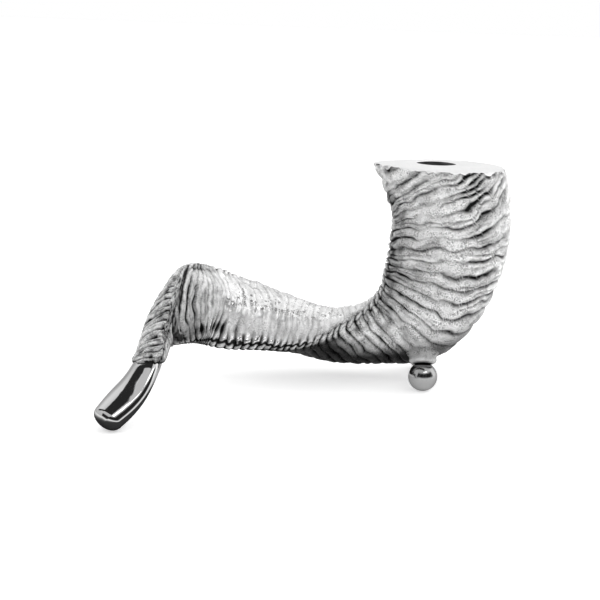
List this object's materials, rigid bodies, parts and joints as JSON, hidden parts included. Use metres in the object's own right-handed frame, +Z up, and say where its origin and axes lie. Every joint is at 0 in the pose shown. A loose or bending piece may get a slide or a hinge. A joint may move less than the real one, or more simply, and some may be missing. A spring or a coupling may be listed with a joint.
{
  "type": "shofar candle holder",
  "caption": "Taper candle holder cast in the shape of a ribbed ram's horn (shofar), with a flat bell face, a candle socket, ball feet and a polished mouthpiece.",
  "frame": {"origin": "on the table, under the middle of the holder's overall box", "axes": "+X from the mouthpiece's end to the bell's end, along the longest extent; +Z up, out of the candle socket"},
  "size_m": [0.2129, 0.1406, 0.122],
  "materials": {
    "cast_horn": "rough cast ribs, buffed on the crests, satin on the flat face",
    "polished_mouthpiece": "mirror polished",
    "ball_feet": "mirror polished",
    "studs": "plain machined"
  },
  "bodies": {
    "root": {"horn_casting": "cast_horn", "mouthpiece": "polished_mouthpiece", "ball_foot_front": "ball_feet", "ball_foot_rear": "ball_feet", "foot_stud_front": "studs", "foot_stud_rear": "studs"}
  },
  "joints": []
}
